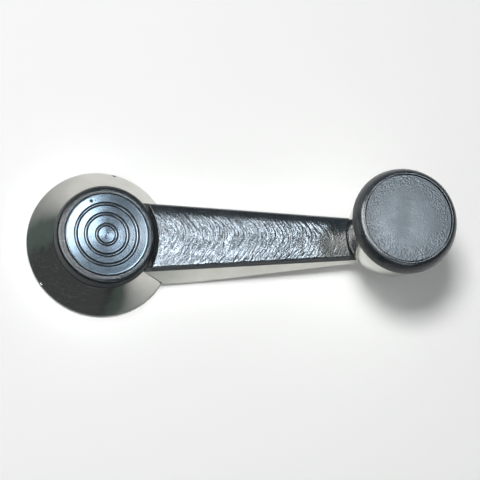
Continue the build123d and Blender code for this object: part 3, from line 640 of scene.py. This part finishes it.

# medallion: spun disc with three pairs of blackened grooves and a bead between each pair
# rimShade is the width of the band of painted shade round the rim
medallionSettings = {"top": 18.4, "bottom": 17.4, "radius": 15.7, "edgeRound": 0.55, "dish": 0.65,
                     "pairs": ((3.2, 4.2), (7.3, 8.4), (11.0, 12.1)), "grooveWidth": 0.5,
                     "grooveDepth": 0.24, "rimShade": 0.35, "beadRise": 0.07, "segments": 256,
                     "bandSteps": 5, "grooveSteps": 6}


def spinProfile(name, profile, axisX, segments):
    # turns a closed outline of (radius, height) points about a vertical axis
    mesh = bmesh.new()
    rings = []
    for radius, height in profile:
        if radius < 1e-6:
            rings.append([mesh.verts.new((axisX, 0, height))])
            continue
        ring = []
        for k in range(segments):
            turn = k * math.tau / segments
            ring.append(mesh.verts.new((axisX + radius * math.cos(turn), radius * math.sin(turn), height)))
        rings.append(ring)
    for first, second in zip(rings, rings[1:] + rings[:1]):
        if len(first) == 1 and len(second) == 1:
            continue
        for k in range(segments):
            near, far = k, (k + 1) % segments
            if len(first) == 1:
                mesh.faces.new((first[0], second[near], second[far]))
            elif len(second) == 1:
                mesh.faces.new((first[near], second[0], first[far]))
            else:
                mesh.faces.new((first[near], second[near], second[far], first[far]))
    return finishMesh(name, mesh)


def medallionProfile():
    settings = medallionSettings
    half, depth = settings["grooveWidth"] / 2, settings["grooveDepth"]

    def face(radius):
        dish = settings["dish"] * (1 - (radius / settings["radius"]) ** 2)
        return settings["top"] - settings["beadRise"] - dish

    points = [(0, face(0))]
    bandStart = 0.0
    for pair in settings["pairs"]:
        for number, centre in enumerate(pair):
            steps = settings["bandSteps"]
            for k in range(1, steps + 1):
                radius = bandStart + (centre - half - bandStart) * k / steps
                bead = settings["beadRise"] * math.sin(math.pi * k / steps) if number else 0
                points.append((radius, face(radius) + bead))
            for k in range(1, settings["grooveSteps"] + 1):
                share = k / settings["grooveSteps"]
                radius = centre - half + 2 * half * share
                points.append((radius, face(radius) - depth * math.sin(math.pi * share) ** 0.7))
            bandStart = centre + half
    edgeStart = settings["radius"] - settings["edgeRound"]
    for k in range(1, settings["bandSteps"] + 1):
        radius = bandStart + (edgeStart - bandStart) * k / settings["bandSteps"]
        points.append((radius, face(radius)))
    for k in range(1, settings["grooveSteps"] + 1):
        turn = math.pi / 2 * k / settings["grooveSteps"]
        points.append((edgeStart + settings["edgeRound"] * math.sin(turn),
                       face(edgeStart) - settings["edgeRound"] * (1 - math.cos(turn))))
    points += [(settings["radius"], settings["bottom"]), (0, settings["bottom"])]
    return points


# paint is the colour of the groove paint, also used for the painted shade round the rim
spunSettings = {"colour": (0.047, 0.055, 0.062), "stain": (0.037, 0.043, 0.049),
                "paint": (0.006, 0.008, 0.010), "gloss": 0.17, "dull": 0.25, "paintRough": 0.75,
                "anisotropy": 0.75, "pitch": 0.16, "scratchSpacing": 2.4, "scratchWidth": 0.006,
                "depth": 0.012, "nick": (-5.4, 12.6, 18.1, 1.2)}


def groovePaintAndRimShade(tree, radius):
    # black paint left in the grooves, and painted shade round the rim where the medallion meets the ring
    paint = addMath(tree, "GREATER_THAN", (-400, 650), radius,
                    medallionSettings["radius"] - medallionSettings["rimShade"])
    for centre in sum(medallionSettings["pairs"], ()):
        away = addMath(tree, "ABSOLUTE", (-700, 500), addMath(tree, "SUBTRACT", (-850, 500), radius, centre))
        groove = addMath(tree, "LESS_THAN", (-550, 500), away, medallionSettings["grooveWidth"] / 2)
        paint = highest(tree, (-400, 500), paint, groove)
    return paint


def makeSpunMetal():
    settings = spunSettings
    material, tree, shader = newMaterial("spunMetal", Anisotropic=settings["anisotropy"],
                                         Anisotropic_Rotation=0.25, Specular_IOR_Level=0.1)
    place = millimetres(tree)
    turned = placeGroup(tree, turnedLines, (-1100, 0), place, Axis_X=0.0, Pitch=settings["pitch"])
    clouds = placeGroup(tree, smudges, (-1100, 300), place, Size=5.0, Contrast=1.5)["Mask"]
    scratches = placeGroup(tree, fineScratches, (-1100, -250), place, Spacing=settings["scratchSpacing"],
                           Width=settings["scratchWidth"], Amount=0.5)["Mask"]
    x, y, z, size = settings["nick"]
    nick = placeGroup(tree, spotMark, (-1100, -450), place, X=x, Y=y, Z=z, Size=size)["Mask"]
    dark = highest(tree, (-250, 400), groovePaintAndRimShade(tree, turned["Radius"]), nick)
    tint = addMix(tree, (-250, 200), addRange(tree, (-500, 200), clouds, 0.3, 0.9, 0.0, 0.7),
                  settings["colour"], settings["stain"])
    wire(tree, addMix(tree, (0, 300), dark, tint, settings["paint"]), shader.inputs["Base Color"])
    wire(tree, addMath(tree, "SUBTRACT", (0, 50), 1.0, dark), shader.inputs["Metallic"])
    streaks = addRange(tree, (-500, 0), turned["Height"], 0.25, 0.75, settings["gloss"], settings["dull"])
    painted = addMath(tree, "MULTIPLY", (-450, 100), dark, settings["paintRough"])
    scored = addMath(tree, "MULTIPLY", (-450, -50), scratches, 0.5)
    rough = highest(tree, (0, -50), highest(tree, (-350, 0), streaks, painted), scored)
    wire(tree, rough, shader.inputs["Roughness"])
    cut = addMath(tree, "SUBTRACT", (-250, -250), turned["Height"], scored)
    wire(tree, addBump(tree, (250, -250), cut, 0.35, settings["depth"] * mm), shader.inputs["Normal"])
    tangent = addNode(tree, "ShaderNodeTangent", (250, -450))
    tangent.direction_type = "RADIAL"
    tangent.axis = "Z"
    wire(tree, tangent.outputs["Tangent"], shader.inputs["Tangent"])
    return material


medallion = addPiece(
    "medallionSpun", spinProfile("medallionMesh", medallionProfile(), 0, medallionSettings["segments"]),
    makeSpunMetal(), "crank", "medallion", sharpAngle=50)
print("medallion built:", len(medallion.data.polygons), "faces")

# knob cap: rounded glossy ring around the inset, on the CAD cap's own inner walls
capSettings = {"axis": 108.0, "segments": 220, "steps": 14,
               "foot": ((18.7, 36.5), (19.35, 37.6), (19.93, 38.3), (19.93, 39.2)),
               "shoulder": ((19.93, 39.2), (19.93, 40.2), (18.79, 44.9), (16.95, 45.4)),
               "inside": ((16.72, 45.36), (16.7, 43.85), (0, 43.85), (0, 41.85), (17.5, 41.85), (17.5, 36.5))}


def curvePoints(corners, steps):
    # points along a curve that leaves the first corner and reaches the last, drawn towards the others
    points = []
    for k in range(steps + 1):
        t = k / steps
        weights = ((1 - t) ** 3, 3 * t * (1 - t) ** 2, 3 * t * t * (1 - t), t ** 3)
        points.append(tuple(sum(w * corner[axis] for w, corner in zip(weights, corners)) for axis in (0, 1)))
    return points


def capProfile():
    foot = curvePoints(capSettings["foot"], capSettings["steps"] // 2)
    shoulder = curvePoints(capSettings["shoulder"], capSettings["steps"])
    return foot + shoulder[1:] + list(capSettings["inside"])


knobCap = addPiece(
    "knobCapGloss", spinProfile("knobCapMesh", capProfile(), capSettings["axis"], capSettings["segments"]),
    makeBlack("bezelPlastic"), "knob", "knob_cap")
print("knob cap built:", len(knobCap.data.polygons), "faces")

# knob inset: crowned vinyl disc, pebbled towards its edge and worn smooth in the middle
insetSettings = {"axis": 108.0, "radius": 16.42, "bottom": 43.85, "edgeTop": 45.05, "crown": 0.3,
                 "edgeRound": 0.35, "roundSteps": 3, "segments": 460, "grainRings": 42, "innerRings": 12,
                 "grainWidth": 6.5, "pebble": 0.85, "bendSize": 0.4, "bend": 0.7, "relief": 0.12}


def insetHeight(x, y, radius):
    settings = insetSettings
    bendSize, pebble = settings["bendSize"], settings["pebble"]
    crown = settings["edgeTop"] + settings["crown"] * (1 - (radius / settings["radius"]) ** 2)
    fade = max(0.0, 1 - (settings["radius"] - radius) / settings["grainWidth"])
    bend = noise.noise_vector(Vector((x * bendSize, y * bendSize, 9.0))) * settings["bend"]
    near = noise.voronoi(Vector((x / pebble + bend.x, y / pebble + bend.y, 0)))[0]
    dome = min(1.0, (near[1] - near[0]) * 2.4) - 1.0
    return crown + settings["relief"] * dome * fade ** 0.7


def buildInsetMesh():
    settings = insetSettings
    mesh = bmesh.new()
    flatRadius = settings["radius"] - settings["edgeRound"]
    coarse = flatRadius - settings["grainWidth"]
    radii = [coarse * (k + 1) / settings["innerRings"] for k in range(settings["innerRings"])]
    radii += [coarse + settings["grainWidth"] * (k + 1) / settings["grainRings"]
              for k in range(settings["grainRings"])]
    count = settings["segments"]

    def addRing(radius, height=None):
        # one circle of points, at the grain's own height where none is given
        ring = []
        for k in range(count):
            x, y = radius * math.cos(k * math.tau / count), radius * math.sin(k * math.tau / count)
            z = insetHeight(x, y, radius) if height is None else height
            ring.append(mesh.verts.new((settings["axis"] + x, y, z)))
        return ring

    centre = mesh.verts.new((settings["axis"], 0, insetHeight(0, 0, 0)))
    rings = [addRing(radius) for radius in radii]
    for step in range(1, settings["roundSteps"] + 1):
        lean = math.pi / 2 * step / settings["roundSteps"]
        rings.append(addRing(flatRadius + settings["edgeRound"] * math.sin(lean),
                             settings["edgeTop"] - settings["edgeRound"] * (1 - math.cos(lean))))
    rings.append(addRing(settings["radius"], settings["bottom"]))
    for k in range(count):
        mesh.faces.new((centre, rings[0][k], rings[0][(k + 1) % count]))
    for inner, outer in zip(rings, rings[1:]):
        for k in range(count):
            mesh.faces.new((inner[k], outer[k], outer[(k + 1) % count], inner[(k + 1) % count]))
    mesh.faces.new(list(reversed(rings[-1])))
    return finishMesh("insetMesh", mesh)


knobInset = addPiece("knobInsetVinyl", buildInsetMesh(), makeBlack("insetVinyl"), "knob",
                     "knob_inset", sharpAngle=60)
print("knob inset built:", len(knobInset.data.polygons), "faces")

# floor, pale and seen only from above; "shade" is the dark side that reflections meet
floorSettings = {"radius": 3.0, "colour": (0.84, 0.84, 0.83), "smudge": 0.985, "glow": 0.15, "sides": 96,
                 "shade": (0.13, 0.165, 0.155), "shadeSide": (-0.75, -0.66, 0), "shadeReach": (-18, 34),
                 "shadePower": 1.6}


def seenRays(tree, place):
    # rays that the camera sends, and those that come off glossy or clear surfaces
    path = addNode(tree, "ShaderNodeLightPath", (place[0] - 200, place[1]))
    seen = highest(tree, place, path.outputs["Is Camera Ray"], path.outputs["Is Glossy Ray"])
    return highest(tree, (place[0] + 200, place[1]), seen, path.outputs["Is Transmission Ray"])


def makeFloorPaint():
    material, tree, shader = newMaterial("floorPaint", Roughness=0.9, Specular_IOR_Level=0.0)
    place = millimetres(tree)
    clouds = placeGroup(tree, smudges, (-1100, 300), place, Size=120.0, Contrast=0.6)["Mask"]
    paint = addMix(tree, (-300, 300), clouds,
                   tuple(floorSettings["smudge"] * part for part in floorSettings["colour"]),
                   floorSettings["colour"])
    path = addNode(tree, "ShaderNodeLightPath", (-800, -150))
    towards = addVector(tree, "DOT_PRODUCT", (-900, 0), place, floorSettings["shadeSide"])
    near, far = floorSettings["shadeReach"]
    light = addRange(tree, (-700, 0), towards.outputs["Value"], near, far, 1.0, 0.0)
    light = addMath(tree, "POWER", (-550, 0), light, floorSettings["shadePower"])
    dark = addMath(tree, "MULTIPLY", (-300, 0), addMath(tree, "SUBTRACT", (-400, 0), 1.0, light),
                   path.outputs["Is Glossy Ray"])
    wire(tree, addMix(tree, (0, 300), dark, paint, floorSettings["shade"]), shader.inputs["Base Color"])
    shader.inputs["Emission Color"].default_value = (1, 1, 1, 1)
    lit = addMath(tree, "MULTIPLY", (100, -300), seenRays(tree, (-600, -300)),
                  addMath(tree, "SUBTRACT", (-300, -100), 1.0, dark))
    wire(tree, addMath(tree, "MULTIPLY", (300, -300), lit, floorSettings["glow"]),
         shader.inputs["Emission Strength"])
    # clear from below
    clear = addNode(tree, "ShaderNodeBsdfTransparent", (600, -400))
    side = addNode(tree, "ShaderNodeNewGeometry", (400, 300))
    either = addNode(tree, "ShaderNodeMixShader", (800, 200))
    output = next(node for node in tree.nodes if node.type == "OUTPUT_MATERIAL")
    wire(tree, side.outputs["Backfacing"], either.inputs["Fac"])
    wire(tree, shader.outputs["BSDF"], either.inputs[1])
    wire(tree, clear.outputs["BSDF"], either.inputs[2])
    wire(tree, either.outputs["Shader"], output.inputs["Surface"])
    return material


def buildFloor():
    mesh = bpy.data.meshes.new("studioFloor")
    turns = [i * math.tau / floorSettings["sides"] for i in range(floorSettings["sides"])]
    reach = floorSettings["radius"]
    mesh.from_pydata([(reach * math.cos(turn), reach * math.sin(turn), 0) for turn in turns], [],
                     [range(len(turns))])
    mesh.materials.append(makeFloorPaint())
    floor = bpy.data.objects.new("studioFloor", mesh)
    bpy.context.scene.collection.objects.link(floor)


buildFloor()

# world: brightest low down, darker overhead, with a dark side and a dimmer east
worldSettings = {"colour": (0.86, 0.93, 0.95), "seen": 0.80, "overhead": 0.26, "fill": 0.12, "shade": 0.085,
                 "shadeSide": (-0.56, -0.83, 0.0), "shadePower": 1.6, "shadeTop": (0.12, 0.3),
                 "steepFrom": (0.35, 0.75), "east": 0.4, "eastFrom": (0.15, 0.6)}
# a lamp without a colour or "fills" is pale blue and seen only in reflections
lampColour = (0.95, 0.98, 1)
lampSettings = {
    "mainLamp": {"position": (-0.16, 0.20, 0.90), "aim": (0.03, 0, 0.02), "size": (0.24, 0.24),
                 "power": 7.2, "colour": (1, 1, 1), "fills": True},
    "topLamp": {"position": (0.268, 0.125, 0.90), "aim": (0.03, 0, 0.02), "size": (0.10, 0.26),
                "power": 7.2, "colour": (0.76, 0.89, 1)},
    "leftLamp": {"position": (-0.74, 0.10, 0.50), "aim": (0.10, 0, 0.04), "size": (0.62, 1.1),
                 "power": 40.0},
    "sideLamp": {"position": (-0.43, -0.66, 0.50), "aim": (0.10, 0, 0.04), "size": (0.5, 0.3),
                 "power": 2.2},
    "nearLamp": {"position": (-0.33, -0.40, 0.86), "aim": (0.05, 0, 0.03), "size": (0.34, 0.26),
                 "power": 10.0},
    "frontLamp": {"position": (0.14, -0.85, 0.45), "aim": (0, 0, 0.02), "size": (0.5, 0.22),
                  "power": 2.5},
}


def buildWorld():
    settings = worldSettings
    world = bpy.data.worlds.new("studio")
    bpy.context.scene.world = world
    world.use_nodes = True
    tree = world.node_tree
    background = tree.nodes["Background"]
    background.inputs["Color"].default_value = (*settings["colour"], 1)
    direction = addNode(tree, "ShaderNodeTexCoord", (-1200, -300)).outputs["Generated"]
    towards = addVector(tree, "DOT_PRODUCT", (-1000, -300), direction, settings["shadeSide"])
    split = addSplit(tree, (-1000, -500), direction)
    openSide = addRange(tree, (-800, -300), towards.outputs["Value"], -0.9, 0.7, 1.0, 0.0)
    openSide = addMath(tree, "POWER", (-650, -300), openSide, settings["shadePower"])
    side = addMath(tree, "SUBTRACT", (-600, -350), 1.0, openSide)
    low = addRange(tree, (-800, -500), split["Z"], *settings["shadeTop"], 1.0, 0.0)
    light = addMath(tree, "SUBTRACT", (-500, -600), 1.0, addMath(tree, "MULTIPLY", (-600, -400), side, low))
    steep = addRange(tree, (-800, -700), split["Z"], *settings["steepFrom"], settings["seen"],
                     settings["overhead"])
    lit = addMath(tree, "MULTIPLY", (-450, -500), steep, light)
    east = addRange(tree, (-600, -900), split["X"], *settings["eastFrom"], 1.0, settings["east"])
    bright = addMath(tree, "MULTIPLY", (-350, -400),
                     addMath(tree, "ADD", (-400, -300), lit, settings["shade"]), east)
    extra = addMath(tree, "SUBTRACT", (-300, -200), bright, settings["fill"])
    shown = addMath(tree, "MULTIPLY", (-200, -100), seenRays(tree, (-600, 0)), extra)
    wire(tree, addMath(tree, "ADD", (-100, 0), shown, settings["fill"]), background.inputs["Strength"])


def facing(position, right, back):
    # placement of something that looks against "back" with its own x axis close to "right"
    back = Vector(back).normalized()
    right = Vector(right)
    right = (right - back * right.dot(back)).normalized()
    turn = Matrix((right, back.cross(right), back)).transposed().to_4x4()
    return Matrix.Translation(position) @ turn


def buildLamps():
    for name, lamp in lampSettings.items():
        data = bpy.data.lights.new(name, "AREA")
        data.shape = "RECTANGLE"
        data.size, data.size_y = lamp["size"]
        data.energy = lamp["power"]
        data.color = lamp.get("colour", lampColour)
        light = bpy.data.objects.new(name, data)
        light.visible_diffuse = lamp.get("fills", False)
        bpy.context.scene.collection.objects.link(light)
        away = Vector(lamp["position"]) - Vector(lamp["aim"])
        light.matrix_world = facing(lamp["position"], (1, 0, 0), away)


buildWorld()
buildLamps()

# camera
cameraSettings = {
    "position": (-0.1942, -0.2361, 1.0367),
    "right": (0.9737, -0.0512, 0.2218),
    "back": (-0.2277, -0.2179, 0.9490),
    "lens": 216.4,
    "sensor": 36,
    "clip": (0.05, 20),
}


def buildCamera():
    data = bpy.data.cameras.new("viewCamera")
    data.lens = cameraSettings["lens"]
    data.sensor_width = cameraSettings["sensor"]
    data.clip_start, data.clip_end = cameraSettings["clip"]
    camera = bpy.data.objects.new("viewCamera", data)
    bpy.context.scene.collection.objects.link(camera)
    camera.matrix_world = facing(cameraSettings["position"], cameraSettings["right"], cameraSettings["back"])
    bpy.context.scene.camera = camera


buildCamera()
bpy.context.scene.view_settings.view_transform = "Standard"
print("lamps and camera placed")
